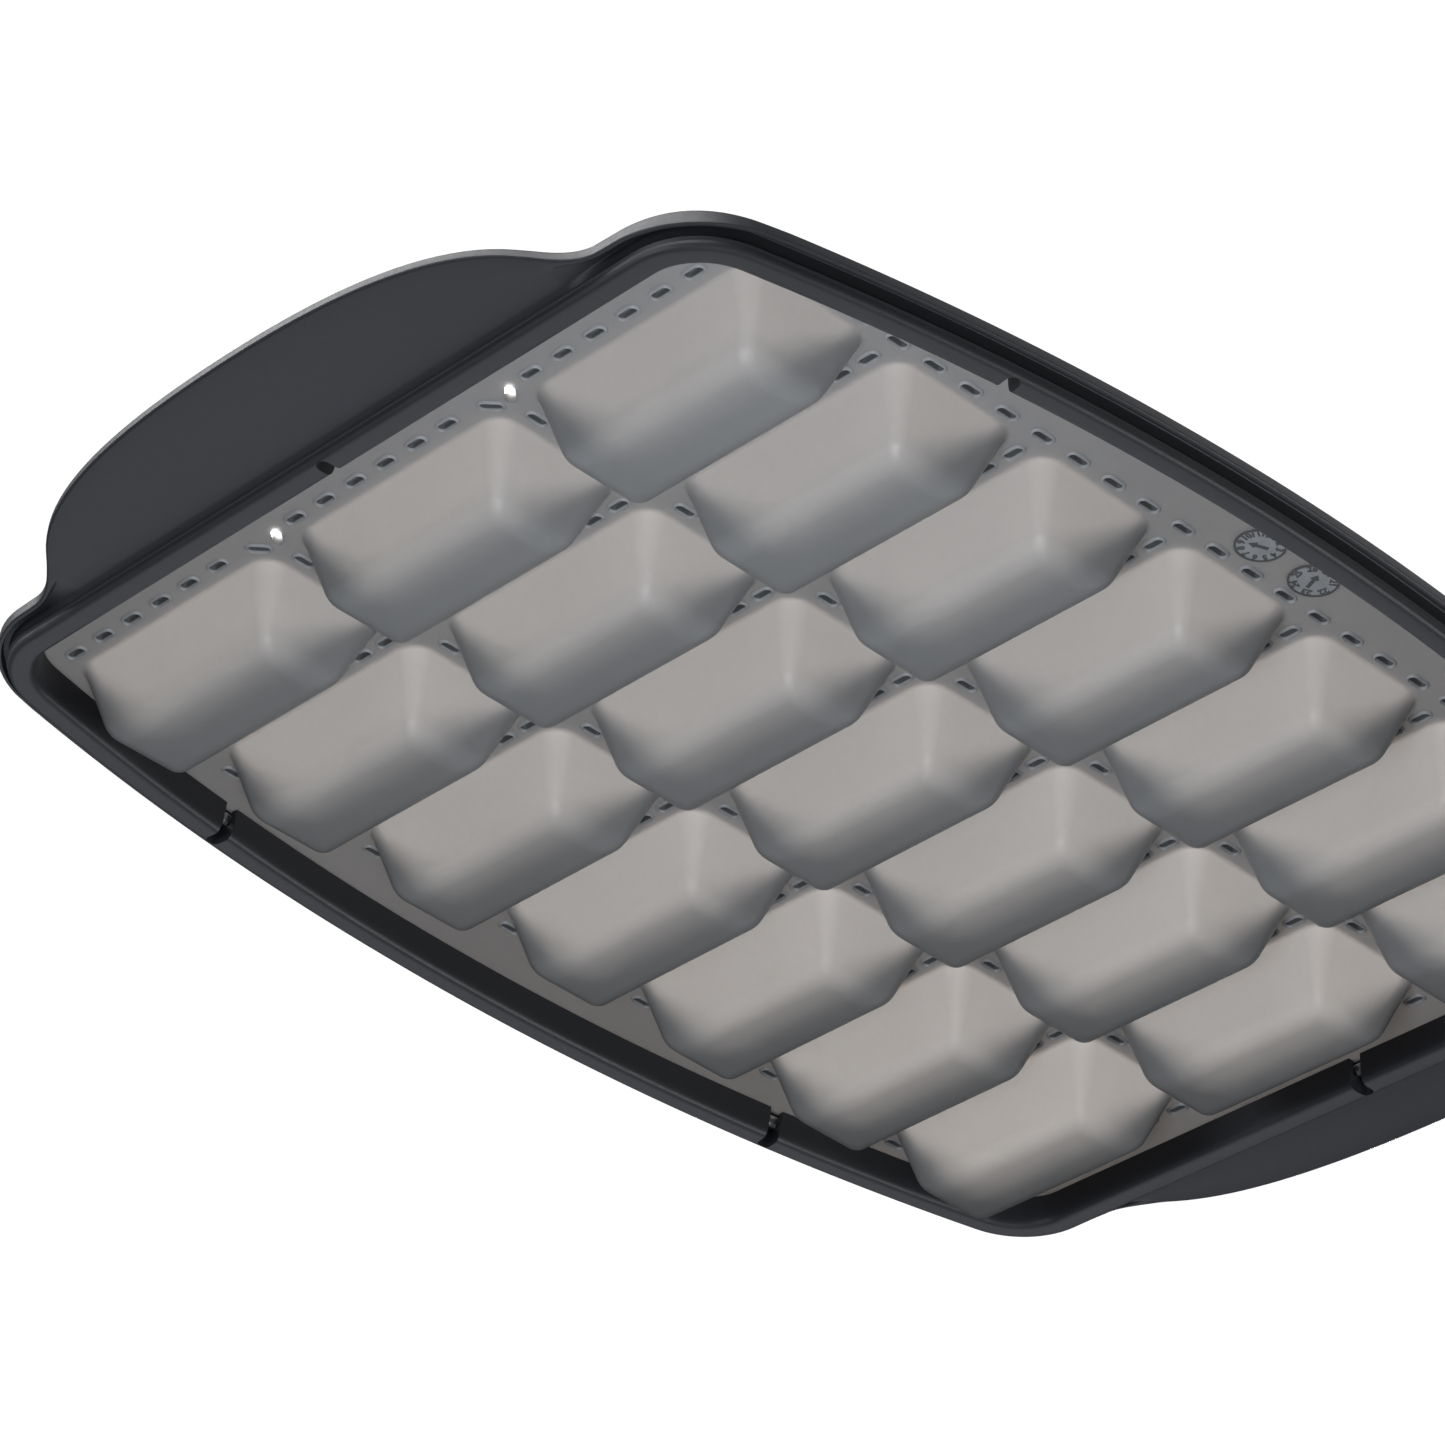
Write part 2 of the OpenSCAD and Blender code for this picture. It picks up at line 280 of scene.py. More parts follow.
def rim_section(reach, share, rise):
    """Corners of the rim's section as (distance out, height, rounding), from the bead round to the seat."""
    bead = [(0, WEB_Z, 0), (0.3, BEAD_Z + 2, 1.2), (0.75, BEAD_Z + 0.6, 0.5), (1.5, BEAD_Z, 0.5),
            (BEAD_W - 0.8, BEAD_Z, 0.5), (BEAD_W - 0.1, BEAD_Z + 0.6, 0.4),
            (BEAD_W, RIDGE_Z - 0.45, 0.1), (BEAD_W + 0.3, RIDGE_Z, 0.12),
            (BEAD_W + 0.05, RIDGE_Z + 0.35, 0.1)]
    edge = EDGE_Z + rise
    roof = top_z(RIM_REACH - LIP_T) - ROOF_T
    lip = [(BEAD_W + 0.1, roof, 0.25), (reach - LIP_T, roof, 0.25), (reach - LIP_T + 0.1, LIP_Z, 0.12),
           (reach - 0.25, LIP_Z, 0.1), (reach, LIP_Z + 0.25, 0.1), (reach, edge - 0.25, 0.15),
           (reach - 0.3, edge, 0.2),
           (BEAD_W + 0.45 * (reach - BEAD_W), 0.45 * edge + 0.55 * top_z(BEAD_W), 0.8),
           (BEAD_W, top_z(BEAD_W), 0.8)]
    middle = CREASE_AT + 0.5 * (reach - CREASE_AT)
    outer = max(CREASE_AT + 0.6 * (reach - CREASE_AT), reach - 4)
    tip = handle_z(reach)
    handle = [(CREASE_AT, LIP_Z, 0.35), (middle, handle_z(middle), 0.5), (outer, handle_z(outer), 1.5),
              (reach - 0.4, tip + 0.05, 0.15), (reach, tip + 0.35, 0.12),
              (reach, tip + HANDLE_T - 0.25, 0.12), (reach - 0.3, tip + HANDLE_T, 0.15),
              (CREASE_AT + 1.6, handle_z(CREASE_AT + 1.6) + HANDLE_T + 0.1, 0.8),
              (CREASE_AT + 0.3, top_z(BEAD_W), 0.8)]
    outside = [tuple(a * (1 - share) + b * share for a, b in zip(l, h)) for l, h in zip(lip, handle)]
    seat = [(CHANNEL_OUT + 0.4, max(top_z(CHANNEL_OUT + 0.4), WEB_Z + COVER_T), 0.6),
            (SEAT_W + 0.5, WEB_TOP, 0.3), (SEAT_W, WEB_TOP - 0.15, 0.06), (SEAT_W, WEB_Z, 0),
            (CHANNEL_OUT, WEB_Z, 0), (CHANNEL_OUT, CHANNEL_Z, 0), (CHANNEL_IN, CHANNEL_Z, 0),
            (CHANNEL_IN, WEB_Z, 0)]
    return bead + outside + seat


def rounded(corners):
    """The section's points with each corner replaced by a short curve of its own rounding."""
    most_of_side = 0.48
    points = []
    for k, (x, z, r) in enumerate(corners):
        here = Vector((x, z))
        before = Vector(corners[k - 1][:2]) - here
        after = Vector(corners[(k + 1) % len(corners)][:2]) - here
        start = here + before.normalized() * min(r, before.length * most_of_side)
        end = here + after.normalized() * min(r, after.length * most_of_side)
        for i in range(ROUNDING_STEPS + 1):
            t = i / ROUNDING_STEPS
            points.append(start * (1 - t) ** 2 + here * 2 * t * (1 - t) + end * t * t)
    return points


def make_rim():
    """The charcoal rim, swept round the border, with its six notches cut."""
    sections = [rounded(rim_section(*p[3:])) for p in PLACES]
    m = len(sections[0])
    n = len(PLACES)
    verts = []
    for place, section in zip(PLACES, sections):
        for d, z in section:
            verts.append((*moved_out(place, d), z))
    faces = [(i * m + j, ((i + 1) % n) * m + j, ((i + 1) % n) * m + (j + 1) % m, i * m + (j + 1) % m)
             for i in range(n) for j in range(m)]
    rim = seen_mesh("rim_skin", verts, faces, CRISP_RIM)
    for cutter in notch_cutters():
        apply_modifier(rim, "BOOLEAN", operation="DIFFERENCE", object=cutter, solver="EXACT")
        bpy.data.objects.remove(cutter)
    rim.data.shade_smooth()
    rim.data.set_sharp_from_angle(angle=CRISP_RIM)
    return rim


def notch_cutters():
    """Six cutters for the notches: straight sides, a round end under the bead."""
    notch_x = BORDER_X - NOTCH_IN
    bow_a = asin(notch_x / BOW_R)
    bow_at = BOW_Y + BOW_R * cos(bow_a)
    spots = []
    for turn in (0, pi):
        spots.append((BORDER_X, 0, 0, turn))
        for side in (-1, 1):
            spots.append((side * notch_x, bow_at, pi / 2 - side * bow_a, turn))
    r = NOTCH_W / 2
    angles = [radians(-90 + 180 * i / NOTCH_STEPS) for i in range(NOTCH_STEPS + 1)]
    round_end = [(NOTCH_REACH - r + r * cos(a), r * sin(a)) for a in angles]
    outline = [(-CUT_PAST, -r)] + round_end + [(-CUT_PAST, r)]
    count = len(outline)
    walls = [(i, (i + 1) % count, count + (i + 1) % count, count + i) for i in range(count)]
    ends = [tuple(reversed(range(count))), tuple(range(count, 2 * count))]
    for k, (x, y, a, turn) in enumerate(spots):
        place = (Matrix.Rotation(turn, 4, "Z") @ Matrix.Translation((x, y, 0)) @
                 Matrix.Rotation(a, 4, "Z"))
        ring = [place @ Vector((u, v, z)) for z in (BEAD_Z - CUT_PAST, WEB_Z + FIT_GAP)
                for u, v in outline]
        yield seen_mesh(f"notch_{k}", ring, walls + ends)


# Cups
def round_rectangle(x, y, r, z):
    """A rectangle with round corners, from its half sizes."""
    points = []
    for k in range(4):
        sx = 1 if k in (0, 3) else -1
        sy = 1 if k < 2 else -1
        for i in range(CUP_CORNER_STEPS + 1):
            a = pi / 2 * (k + i / CUP_CORNER_STEPS)
            points.append((sx * (x - r) + r * cos(a), sy * (y - r) + r * sin(a), z))
    return points


def cup_level(z, inset, skin):
    """A cup's outline at a height, a skin's thickness inside its outer face. Inner corners are tighter."""
    left = 1 - z / CUP_DEPTH
    r = CUP_CORNER_BASE + (CUP_CORNER_TOP - CUP_CORNER_BASE) * min(1, z / CUP_DEPTH)
    x = CUP_W / 2 - skin / cos(LEAN_A) - LEAN_LONG * left - inset
    y = CUP_L / 2 - skin / cos(LEAN_A) - LEAN_END * left - inset
    return round_rectangle(x, y, max(r - 0.6 * skin - 0.15 * inset, LEAST_CORNER), z)


def cup_skin(skin, top, round_r):
    """Levels of a cup's outside or of its cavity, from the base up to a rounded mouth."""
    turn = pi / 2 - LEAN_A
    foot = round_r * tan(turn / 2)
    levels = []
    for i in range(BASE_STEPS + 1):
        b = turn * i / BASE_STEPS
        up = round_r * (1 - cos(b))
        levels.append(cup_level(skin + up, foot - round_r * sin(b) + up * tan(LEAN_A), skin))
    low = skin + round_r * (1 - cos(turn))
    for i in range(1, WALL_STEPS + 1):
        levels.append(cup_level(low + (top - MOUTH_ROUND - low) * i / WALL_STEPS, 0, skin))
    for i in range(1, MOUTH_STEPS + 1):
        t = i / MOUTH_STEPS
        levels.append(cup_level(top - MOUTH_ROUND * (1 - t) ** 2, -MOUTH_ROUND * t * t, skin))
    return levels


def cup_columns():
    """Places along X of the columns of cups."""
    return [(i - (CUPS_IN_ROW - 1) / 2) * CUP_PITCH_X for i in range(CUPS_IN_ROW)]


def cup_rows():
    """Places along Y of the rows of cups."""
    return [(j - (CUP_ROWS - 1) / 2) * CUP_PITCH_Y for j in range(CUP_ROWS)]


def between(places):
    """The middles between each place and the next."""
    return [(a + b) / 2 for a, b in zip(places, places[1:])]


# Marks on the underside of the web: small raised oblongs, each round a pit
MARK_L = 4.7
MARK_W = 2.5
MARK_DEEP = 0.95
MARK_RIM = 0.5
MARKS_AT_END = 6
MARKS_IN_COLUMN = 8
MARK_IN_END = 7.0
MARK_SHIFT_END = 1.9
MARK_PITCH_END = 7.45
MARK_IN_SLANTED = 8.5
MARK_SHIFT_SLANTED = 3.0
MARK_PITCH_COLUMN = 6.15
MARK_PITCH_ROW = 7.8
MARK_PITCH_SIDE = 7.875
MARK_OUT_SIDE = 2.6

# A mark's section, as (distance in from its outline, height of relief): up, over the rim, down into the pit
MARK_PROFILE = ((0, 0), (0.12, 0.3), (0.25, 0.42), (0.38, 0.42), (MARK_RIM, 0.25), (0.62, 0.0),
                (0.7, -MARK_DEEP))

# Faces with less relief than this take the painted highlight, a paler copy of the silicone: the flanks of a
# mark's rim, not its flat top
PAINTED_HIGHLIGHT_H = 0.4

# Heights nearer than this count as the same
LEVEL = 0.01


def oblong(l, w):
    """Outline of an oblong along X, round at both ends."""
    r = w / 2
    reach = l / 2 - r
    angles = [-pi / 2 + pi * i / OBLONG_STEPS for i in range(OBLONG_STEPS + 1)]
    right = [(reach + r * cos(a), r * sin(a)) for a in angles]
    return right + [(-x, -y) for x, y in right]


def mark_places():
    """Middle and direction of each mark: at the ends, between columns and rows, and at the sides."""
    places = []
    for side in (-1, 1):
        for y in cup_rows():
            places += [(side * (BORDER_X - MARK_IN_END),
                        y - side * MARK_SHIFT_END + (k + 0.5) * MARK_PITCH_END, 90)
                       for k in range(-MARKS_AT_END // 2, MARKS_AT_END // 2)]
        for y in between(cup_rows()):
            places.append((side * (BORDER_X - MARK_IN_SLANTED), y - side * MARK_SHIFT_SLANTED, -45))
    for x in between(cup_columns()):
        for y in cup_rows():
            places += [(x, y + (k + 0.5) * MARK_PITCH_COLUMN, 90)
                       for k in range(-MARKS_IN_COLUMN // 2, MARKS_IN_COLUMN // 2)]
    for y in between(cup_rows()):
        for x in cup_columns():
            places += [(x + k * MARK_PITCH_ROW, y, 0) for k in (-1, 0, 1)]
    count = int(cup_columns()[-1] / MARK_PITCH_SIDE)
    for side in (-1, 1):
        places += [(k * MARK_PITCH_SIDE, side * (CUPS_Y + MARK_OUT_SIDE), 0)
                   for k in range(-count, count + 1)]
    return places


def slot_places():
    """Middle and direction of the four slots through the web, near its ends."""
    return [(side * (BORDER_X - SLOT_IN), y + side * SLOT_SHIFT, 45)
            for side in (-1, 1) for y in between(cup_rows())]


class Shell:
    """Gathers rings, bands and flat plates into one list of places and faces."""

    def __init__(self):
        self.verts = []
        self.faces = []

    def ring(self, points):
        start = len(self.verts)
        self.verts += points
        return list(range(start, len(self.verts)))

    def band(self, a, b):
        n = len(a)
        self.faces += [(a[i], a[(i + 1) % n], b[(i + 1) % n], b[i]) for i in range(n)]

    def loft(self, levels):
        """Bands from level to level, closed by a flat face at the first."""
        rings = [self.ring(level) for level in levels]
        for a, b in zip(rings, rings[1:]):
            self.band(a, b)
        self.faces.append(tuple(rings[0]))

    def plate(self, outer, holes, z):
        """A flat plate with an outline and round holes, none of which holds another."""
        points, edges, loop_of = [], [], []
        for number, loop in enumerate([outer] + holes):
            start = len(points)
            points += [Vector(p[:2]) for p in loop]
            loop_of += [number] * len(loop)
            n = len(loop)
            edges += [(start + i, start + (i + 1) % n) for i in range(n)]
        within_outline = 1
        verts, _, faces, made_from, *_ = delaunay_2d_cdt(points, edges, [], within_outline, WELD_PLATE)
        start = len(self.verts)
        self.verts += [(v.x, v.y, z) for v in verts]
        for face in faces:
            loops = {loop_of[made_from[k][0]] for k in face}
            if len(loops) > 1 or loops == {0}:
                self.faces.append(tuple(start + k for k in face))


def make_tray():
    """The grey tray: web, cups with their cavities, slots and marks in one closed skin."""
    shell = Shell()
    under, over = [], []
    outside = cup_skin(0, WEB_Z, BASE_ROUND)
    cavity = cup_skin(CUP_WALL, WEB_TOP, BASE_ROUND - CUP_WALL)
    for y in cup_rows():
        for x in cup_columns():
            for levels, holes in ((outside, under), (cavity, over)):
                placed = [turned(level, x, y, 0) for level in levels]
                shell.loft(placed)
                holes.append(placed[-1])
    slot = oblong(SLOT_L, SLOT_W)
    for x, y, a in slot_places():
        low, high = (turned([(*p, z) for p in slot], x, y, a) for z in (WEB_Z, WEB_TOP))
        shell.band(shell.ring(low), shell.ring(high))
        under.append(low)
        over.append(high)
    mark = [[(*p, WEB_Z - relief) for p in oblong(MARK_L - 2 * step, MARK_W - 2 * step)]
            for step, relief in MARK_PROFILE]
    for x, y, a in mark_places():
        levels = [turned(level, x, y, a) for level in mark]
        shell.loft(list(reversed(levels)))
        under.append(levels[0])
    edge_low, edge_high = ([(*moved_out(p, WEB_GRIP), z) for p in PLACES] for z in (WEB_Z, WEB_TOP))
    shell.plate(edge_low, under, WEB_Z)
    shell.plate(edge_high, over, WEB_TOP)
    shell.band(shell.ring(edge_low), shell.ring(edge_high))
    tray = seen_mesh("tray_skin", shell.verts, shell.faces, CRISP_TRAY)
    apply_modifier(tray, "WEIGHTED_NORMAL", keep_sharp=True, weight=50)
    return tray


def finish_marks(tray, painted_highlight, hollow):
    """Gives the flanks of the marks' rims a paler painted highlight and their pits a darker painted shade,
    as finishes of their own.
    """
    marks = mark_places()
    near = KDTree(len(marks))
    for k, (x, y, _) in enumerate(marks):
        near.insert((x, y, 0), k)
    near.balance()
    tray.data.materials.append(painted_highlight)
    tray.data.materials.append(hollow)
    for face in tray.data.polygons:
        x, y, z = face.center / MM
        _, k, away = near.find((x, y, 0))
        if away >= MARK_L / 2 or not WEB_Z - PAINTED_HIGHLIGHT_H < z < WEB_Z + MARK_DEEP + LEVEL:
            continue
        mark_x, mark_y, a = marks[k]
        along, across = turned([(x - mark_x, y - mark_y)], 0, 0, -a)[0]
        in_pit = z > WEB_Z
        margin = MARK_RIM if in_pit else 0
        within = abs(along) < MARK_L / 2 - margin and abs(across) < MARK_W / 2 - margin
        # Flanks take the paler painted highlight, pits the darker painted shade
        if within and abs(z - WEB_Z) > LEVEL:
            face.material_index = 2 if in_pit else 1


# Date dials on the underside of the web: a ring round a disc painted paler, plain numbers and an arrow, the
# raised parts painted dark as shade
DIAL_R = 4.25
DIAL_RISE = 0.22
DIAL_SEAT = 0.1
DIAL_EDGE = 0.35
DIAL_STEPS = 48
NUMBER_SIZE = 1.75
NUMBER_IN = 1.15
NUMBER_BOLD = 0.035
ARROW_HALF_W = 0.3
ARROW_HEAD_L = 1.2
ARROW_HEAD_HALF_W = 0.75

# Each dial's middle, its numbers, and the tail and tip of its arrow
DIALS = (((-4.5, -91.0), range(1, 13), ((-3.1, -91.4), (-6.2, -90.1))),
         ((7.9, -91.0), range(20, 27), ((8.5, -89.1), (7.3, -92.5))))


def raised(shape, points, place, rise=DIAL_RISE):
    """A flat outline raised into a low closed plate, added to a shape. Returns the plate's faces."""
    low = [shape.verts.new(place @ Vector((x, y, -DIAL_SEAT))) for x, y in points]
    high = [shape.verts.new(place @ Vector((x, y, rise))) for x, y in points]
    count = len(points)
    made = [shape.faces.new(high), shape.faces.new(low[::-1])]
    for i in range(count):
        made.append(shape.faces.new((low[i], low[(i + 1) % count], high[(i + 1) % count], high[i])))
    return made


def raised_number(shape, number, place):
    """One plain number raised from the web, added to a shape."""
    letters = bpy.data.curves.new("number", "FONT")
    letters.body = str(number)
    letters.size = NUMBER_SIZE
    letters.extrude = DIAL_RISE / 2
    letters.offset = NUMBER_BOLD
    letters.align_x = "CENTER"
    letters.align_y = "CENTER"
    shown = bpy.data.objects.new("number", letters)
    mesh = bpy.data.meshes.new_from_object(shown)
    mesh.transform(place @ Matrix.Translation((0, 0, DIAL_RISE / 2)))
    shape.from_mesh(mesh)
    bpy.data.objects.remove(shown)
    bpy.data.curves.remove(letters)
    bpy.data.meshes.remove(mesh)


def dial(shape, middle, numbers, arrow):
    """Adds one dial to a shape, facing down. Returns the faces of its pale disc."""
    x, y = middle
    face = Matrix.Translation((x, y, WEB_Z)) @ Matrix.Rotation(pi, 4, "X")
    turns = [(cos(2 * pi * k / DIAL_STEPS), sin(2 * pi * k / DIAL_STEPS)) for k in range(DIAL_STEPS)]
    inner = DIAL_R - DIAL_EDGE
    disc_r = DIAL_R - DIAL_EDGE / 2
    pale = raised(shape, [(disc_r * c, disc_r * s) for c, s in turns], face, DIAL_RISE / 4)
    edge = [[shape.verts.new(face @ Vector((r * c, r * s, z))) for c, s in turns]
            for r, z in ((DIAL_R, -DIAL_SEAT), (DIAL_R, DIAL_RISE), (inner, DIAL_RISE), (inner, -DIAL_SEAT))]
    for a, b in zip(edge, edge[1:] + edge[:1]):
        for k in range(DIAL_STEPS):
            shape.faces.new((a[k], a[(k + 1) % DIAL_STEPS], b[(k + 1) % DIAL_STEPS], b[k]))
    for k, number in enumerate(numbers):
        a = -2 * pi * k / len(numbers)
        upright = Matrix.Rotation(a, 4, "Z") @ Matrix.Translation((0, DIAL_R - NUMBER_IN, 0))
        raised_number(shape, number, face @ upright)
    (tail_x, tail_y), (tip_x, tip_y) = arrow
    along = Vector((tip_x - tail_x, -(tip_y - tail_y)))
    turn = Matrix.Rotation(along.angle_signed(Vector((1, 0))), 4, "Z")
    start = Matrix.Translation((tail_x - x, -(tail_y - y), 0)) @ turn
    neck = along.length - ARROW_HEAD_L
    raised(shape, [(0, -ARROW_HALF_W), (neck, -ARROW_HALF_W), (neck, -ARROW_HEAD_HALF_W), (along.length, 0),
                   (neck, ARROW_HEAD_HALF_W), (neck, ARROW_HALF_W), (0, ARROW_HALF_W)], face @ start)
    return pale


def make_dials():
    """Both date dials as one piece. Their discs, painted paler, take its second material, and the rest,
    painted dark as shade, takes the first.
    """
    shape = bmesh.new()
    pale = []
    for middle, numbers, arrow in DIALS:
        pale += dial(shape, middle, numbers, arrow)
    for plate in pale:
        plate.material_index = 1
    bmesh.ops.remove_doubles(shape, verts=shape.verts, dist=WELD_NUMBERS)
    bmesh.ops.scale(shape, vec=(MM, MM, MM), verts=shape.verts)
    return linked_piece("date_dials", shape)


# Materials
def add_node(tree, kind, settings=None, inputs=None):
    """Adds one node. An input that comes from another node is linked, and a plain value is set."""
    made = tree.nodes.new(kind)
    for name, value in (settings or {}).items():
        setattr(made, name, value)
    for key, value in (inputs or {}).items():
        source = value.socket if isinstance(value, Number) else value
        if isinstance(source, bpy.types.NodeSocket):
            tree.links.new(source, made.inputs[key])
        else:
            made.inputs[key].default_value = source
    return made


class Number:
    """A value of a material's nodes that takes part in ordinary arithmetic."""

    def __init__(self, surface, socket):
        self.surface = surface
        self.socket = socket

    def joined(self, operation, a, b):
        return self.surface.node("ShaderNodeMath", {"operation": operation}, {0: a, 1: b})

    def __add__(self, other):
        return self.joined("ADD", self, other)

    def __radd__(self, other):
        return self.joined("ADD", other, self)

    def __sub__(self, other):
        return self.joined("SUBTRACT", self, other)

    def __mul__(self, other):
        return self.joined("MULTIPLY", self, other)

    def limited(self, low=0.0, high=1.0):
        return self.joined("MINIMUM", self.joined("MAXIMUM", self, low), high)


class Surface:
    """One material with a Principled shader, and the nodes that feed it."""

    def __init__(self, name, **uniform):
        self.material = bpy.data.materials.new(name)
        self.material.use_nodes = True
        self.tree = self.material.node_tree
        self.shader = self.tree.nodes["Principled BSDF"]
        for setting, value in uniform.items():
            socket = setting.replace("_", " ").title().replace("Ior", "IOR")
            self.shader.inputs[socket].default_value = value

    def node(self, kind, settings=None, inputs=None, output=0):
        return Number(self, add_node(self.tree, kind, settings, inputs).outputs[output])

    def feed(self, socket, value):
        self.tree.links.new(value.socket, self.shader.inputs[socket])

    def place(self):
        return self.node("ShaderNodeTexCoord", output="Object")

    def noise(self, scale, detail=2.0):
        return self.node("ShaderNodeTexNoise", {}, {"Vector": self.place(), "Scale": scale,
                                                     "Detail": detail, "Roughness": 0.55})

    def mixed(self, share, a, b):
        """A colour between two, by a share. The mix node's colour sockets are 6, 7 and 2."""
        return self.node("ShaderNodeMix", {"data_type": "RGBA"}, {0: share, 6: a, 7: b}, output=2)

    def bumped(self, height, depth_mm, strength):
        return self.node("ShaderNodeBump", {}, {"Strength": strength, "Distance": depth_mm * MM,
                                                 "Height": height})


def grey(value):
    return (value, value, value, 1.0)


def translucent_silicone():
    """The tray's grey silicone, thin enough that light from behind glows through the cup walls."""
    surface = Surface("translucent_silicone", ior=1.41, subsurface_weight=1.0,
                      subsurface_radius=(1.0, 0.955, 0.92), subsurface_scale=0.0058)
    cloud = surface.noise(28.0)
    speck = surface.noise(700.0)
    tone = (cloud * 0.7 + speck * 0.3).limited()
    surface.feed("Base Color", surface.mixed(tone, grey(0.27), grey(0.33)))
    surface.feed("Roughness", 0.46 + (speck - 0.5) * 0.12)
    skin = surface.noise(260.0, detail=3.0) * 0.6 + surface.noise(2200.0) * 0.4
    surface.feed("Normal", surface.bumped(skin, depth_mm=0.05, strength=0.5))
    return surface.material


def rubbed_silicone():
    """The same silicone painted paler: a painted highlight on the flanks of the marks' rims. The dials'
    discs take it too.
    """
    surface = Surface("rubbed_silicone", ior=1.41)
    pale_mottle = surface.noise(500.0, detail=3.0)
    surface.feed("Base Color", surface.mixed(pale_mottle, grey(0.32), grey(0.5)))
    surface.feed("Roughness", 0.3 + pale_mottle * 0.15)
    return surface.material


def hollow_silicone():
    """The same silicone painted dark in the marks' pits and on the dials' relief: painted shade."""
    surface = Surface("hollow_silicone", roughness=0.6, ior=1.41)
    surface.feed("Base Color", surface.mixed(surface.noise(900.0), grey(0.1), grey(0.16)))
    return surface.material


def charcoal_silicone():
    """The rim's charcoal silicone, with a fine grain."""
    surface = Surface("charcoal_silicone", ior=1.43)
    cloud = surface.noise(22.0)
    speck = surface.noise(900.0)
    tone = (cloud * 0.6 + speck * 0.4).limited()
    surface.feed("Base Color", surface.mixed(tone, (0.026, 0.027, 0.031, 1), (0.036, 0.037, 0.042, 1)))
    surface.feed("Roughness", 0.44 + (speck - 0.5) * 0.14)
    grain = surface.noise(1500.0, detail=3.0) * 0.7 + surface.noise(300.0) * 0.3
    surface.feed("Normal", surface.bumped(grain, depth_mm=0.05, strength=0.5))
    return surface.material


def drawn_steel():
    """The bright wire in the rim."""
    surface = Surface("drawn_steel", metallic=1.0)
    lines = surface.noise(1200.0)
    surface.feed("Base Color", surface.mixed(lines, (0.55, 0.55, 0.57, 1), (0.72, 0.72, 0.74, 1)))
    surface.feed("Roughness", 0.18 + lines * 0.14)
    return surface.material


def pale_floor():
    """The matt floor that the camera sees past the tray."""
    surface = Surface("pale_floor", roughness=0.9)
    surface.feed("Base Color", surface.mixed(surface.noise(2.0, detail=3.0), grey(0.78), grey(0.82)))
    return surface.material


def dress(piece, material, node):
    """Gives a skin its material and puts it in the place of a solid."""
    piece.data.materials.clear()
    piece.data.materials.append(material)
    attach(piece, "root")
    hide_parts(node)


# Camera and floor, in millimetres
CAMERA_AT = Vector((-576.8, -647.0, -576.7)) * MM
AIM_AT = Vector((-26.58, 10.14, 13.75)) * MM
CAMERA_ROLL = radians(5.47)
LENS_MM = 155.99
SENSOR_MM = 36.0
FLOOR_REACH = 6000
FLOOR_Z = -3000

# The room's dim light, and the brighter backdrop that the camera alone sees
ROOM_COLOUR = (0.9, 0.95, 1.0, 1)
ROOM_STRENGTH = 0.06
BACKDROP_COLOUR = (1, 1, 1, 1)
BACKDROP_STRENGTH = 1.05

# Colours of the lights
PLAIN_WHITE = (1, 1, 1)
COOL_WHITE = (0.93, 0.97, 1.05)
FAINTLY_COOLER = (0.92, 0.97, 1.04)


def facing(at, aim, roll=0.0):
    """The place and turn of a camera or a light that looks from one place at another."""
    look = (aim - at).to_track_quat("-Z", "Y").to_matrix().to_4x4()
    return Matrix.Translation(at) @ look @ Matrix.Rotation(roll, 4, "Z")


def make_camera():
    """The camera of the photo, solved from the grid of cups."""
    lens = bpy.data.cameras.new("camera")
    lens.lens = LENS_MM
    lens.sensor_width = SENSOR_MM
    lens.clip_start = 0.01
    lens.clip_end = 20.0
    camera = bpy.data.objects.new("camera", lens)
    camera.matrix_world = facing(CAMERA_AT, AIM_AT, CAMERA_ROLL)
    bpy.context.scene.collection.objects.link(camera)
    bpy.context.scene.camera = camera


def soft_light(name, at, size, power, colour=PLAIN_WHITE, only=None):
    """A soft box, in metres, that faces the tray's middle. With only, it lights those pieces alone."""
    lamp = bpy.data.lights.new(name, "AREA")
    lamp.shape = "RECTANGLE"
    lamp.size, lamp.size_y = size
    lamp.energy = power
    lamp.color = colour
    light = bpy.data.objects.new(name, lamp)
    light.matrix_world = facing(Vector(at), Vector((0, 0, 0)))
    light.visible_camera = False
    bpy.context.scene.collection.objects.link(light)
    if only:
        lit = bpy.data.collections.new(name + "_lights")
        for piece in only:
            lit.objects.link(piece)
        light.light_linking.receiver_collection = lit


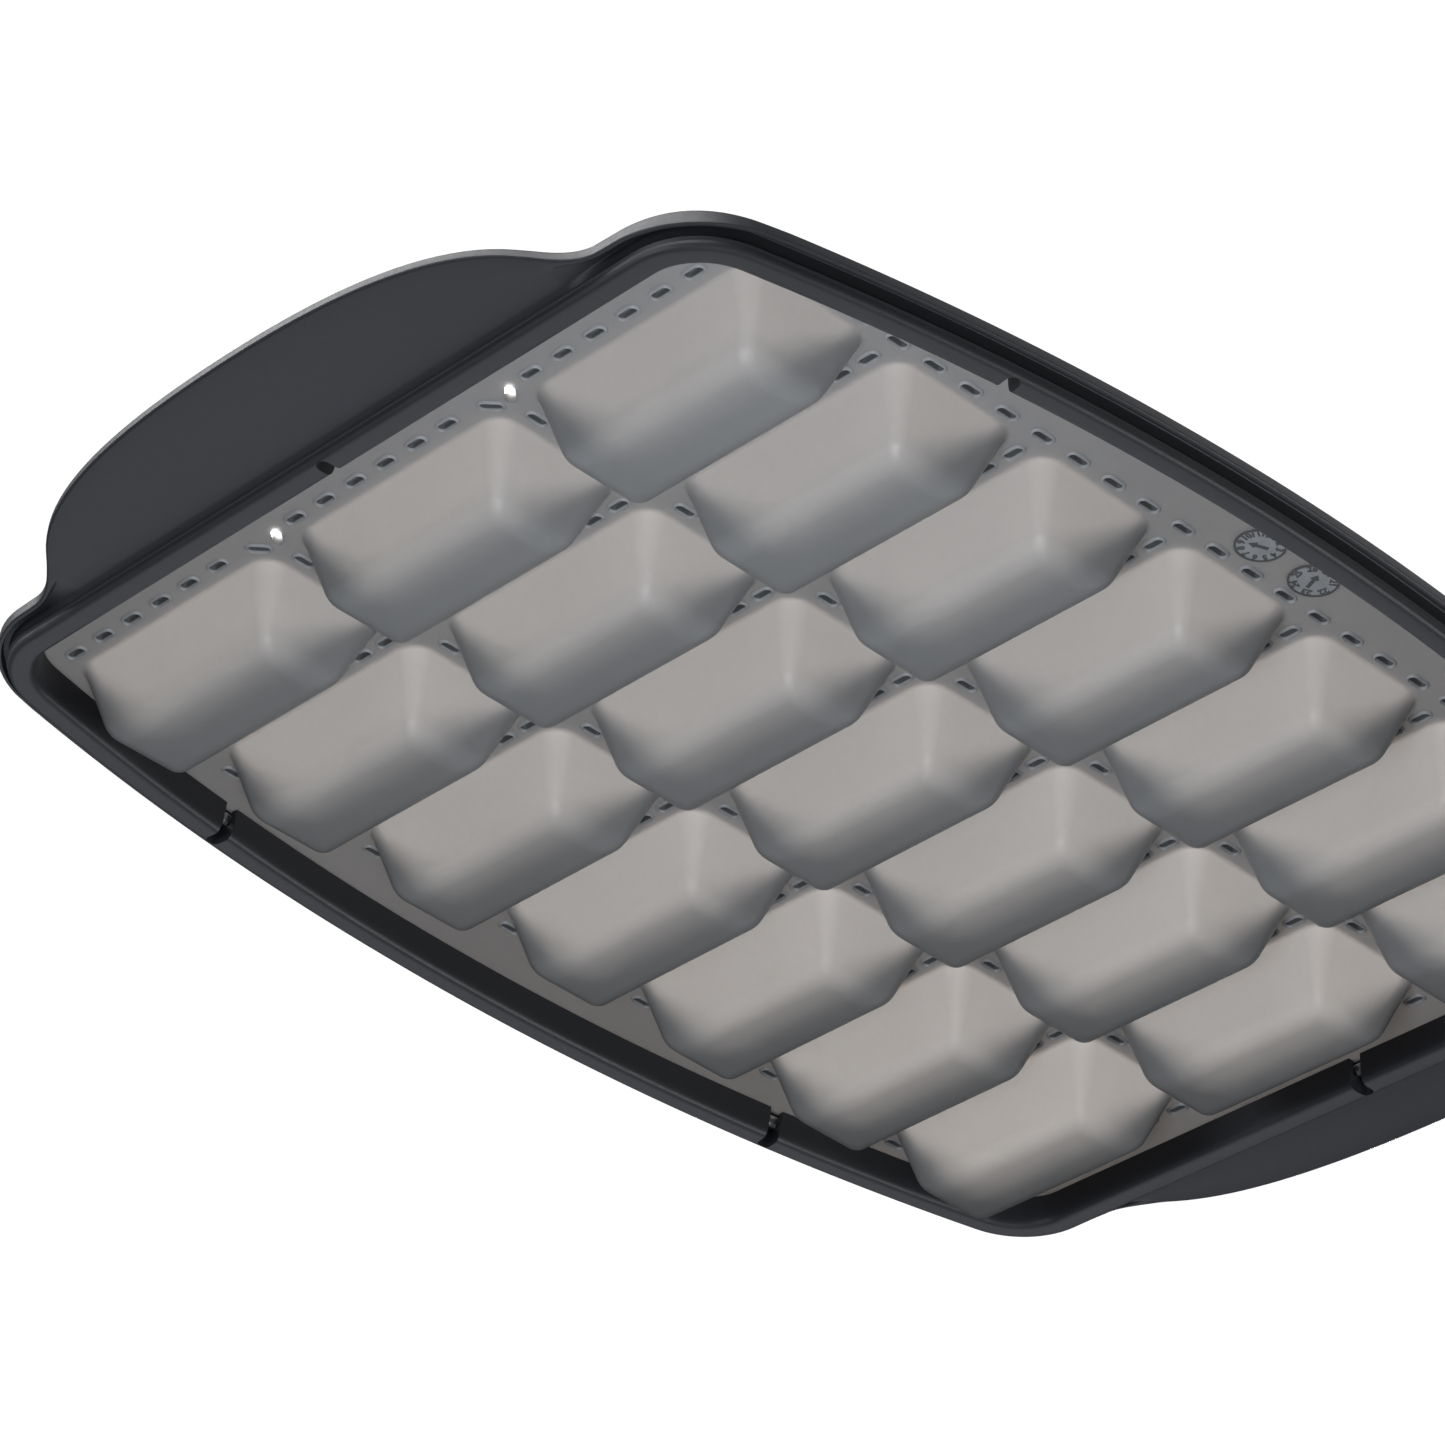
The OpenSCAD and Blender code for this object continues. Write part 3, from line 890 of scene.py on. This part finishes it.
def make_world():
    """A dim room, and a white backdrop in its place wherever the camera looks past the tray."""
    world = bpy.data.worlds.new("studio")
    bpy.context.scene.world = world
    world.use_nodes = True
    tree = world.node_tree
    room = tree.nodes["Background"]
    room.inputs["Color"].default_value = ROOM_COLOUR
    room.inputs["Strength"].default_value = ROOM_STRENGTH
    backdrop = add_node(tree, "ShaderNodeBackground",
                        inputs={"Color": BACKDROP_COLOUR, "Strength": BACKDROP_STRENGTH})
    seen = add_node(tree, "ShaderNodeLightPath")
    either = add_node(tree, "ShaderNodeMixShader", inputs={0: seen.outputs["Is Camera Ray"],
                                                           1: room.outputs[0], 2: backdrop.outputs[0]})
    tree.links.new(either.outputs[0], tree.nodes["World Output"].inputs["Surface"])


def make_floor():
    """A pale floor far below the tray, which throws no light back on its underside."""
    corners = [(x * FLOOR_REACH, y * FLOOR_REACH, FLOOR_Z) for x, y in ((-1, -1), (1, -1), (1, 1), (-1, 1))]
    floor = seen_mesh("floor", corners, [(0, 1, 2, 3)])
    floor.data.materials.append(pale_floor())
    floor.visible_diffuse = False
    floor.visible_glossy = False
    return floor


def light_studio(tray, dials, rim, steel, floor):
    """The window shines through the tray from above and behind. The other boxes light what they name."""
    soft_light("window", (0.67, 0.61, 0.6), (0.36, 0.36), 29)
    soft_light("near_end", (-0.21, -0.17, -0.25), (0.12, 0.12), 0.68, FAINTLY_COOLER,
               only=(tray, dials, steel))
    soft_light("under_box", (-0.5, -0.7, -1.5), (1.2, 1.2), 6, COOL_WHITE, only=(rim,))
    soft_light("edge_strip", (-1.15, 0.1, 0.88), (2.6, 0.7), 48, only=(rim, steel))
    soft_light("end_box", (-1.3, 0.2, -0.55), (0.8, 0.8), 6, COOL_WHITE, only=(rim, steel))
    soft_light("ridge_box", (0.8, -0.82, -0.92), (0.6, 0.6), 7, only=(rim, steel))
    soft_light("side_box", (0.8, -0.95, 0.85), (1.2, 1.2), 4.5, only=(rim,))
    soft_light("floor_box", (0.0, 0.0, 1.5), (4.0, 4.0), 170, only=(floor,))
    soft_light("handle_box", (0.5, 0.95, -1.05), (1.5, 1.5), 6, COOL_WHITE, only=(rim,))


# The scene
bpy.context.scene.view_settings.view_transform = "Standard"
make_camera()
make_world()
floor = make_floor()

steel = bpy.data.objects["steel_ring"]
steel.data.materials.clear()
steel.data.materials.append(drawn_steel())

tray = make_tray()
rim = make_rim()
dress(tray, translucent_silicone(), "mould_tray")
dress(rim, charcoal_silicone(), "rim_frame")
# A paler copy of the silicone as a painted highlight, and a darker one as painted shade
painted_highlight = rubbed_silicone()
hollow = hollow_silicone()
finish_marks(tray, painted_highlight, hollow)
dials = make_dials()
# The dials' ring, numbers and arrow take the painted shade, and their discs take the paler painted highlight
dials.data.materials.append(hollow)
dials.data.materials.append(painted_highlight)
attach(dials, "root")

light_studio(tray, dials, rim, steel, floor)
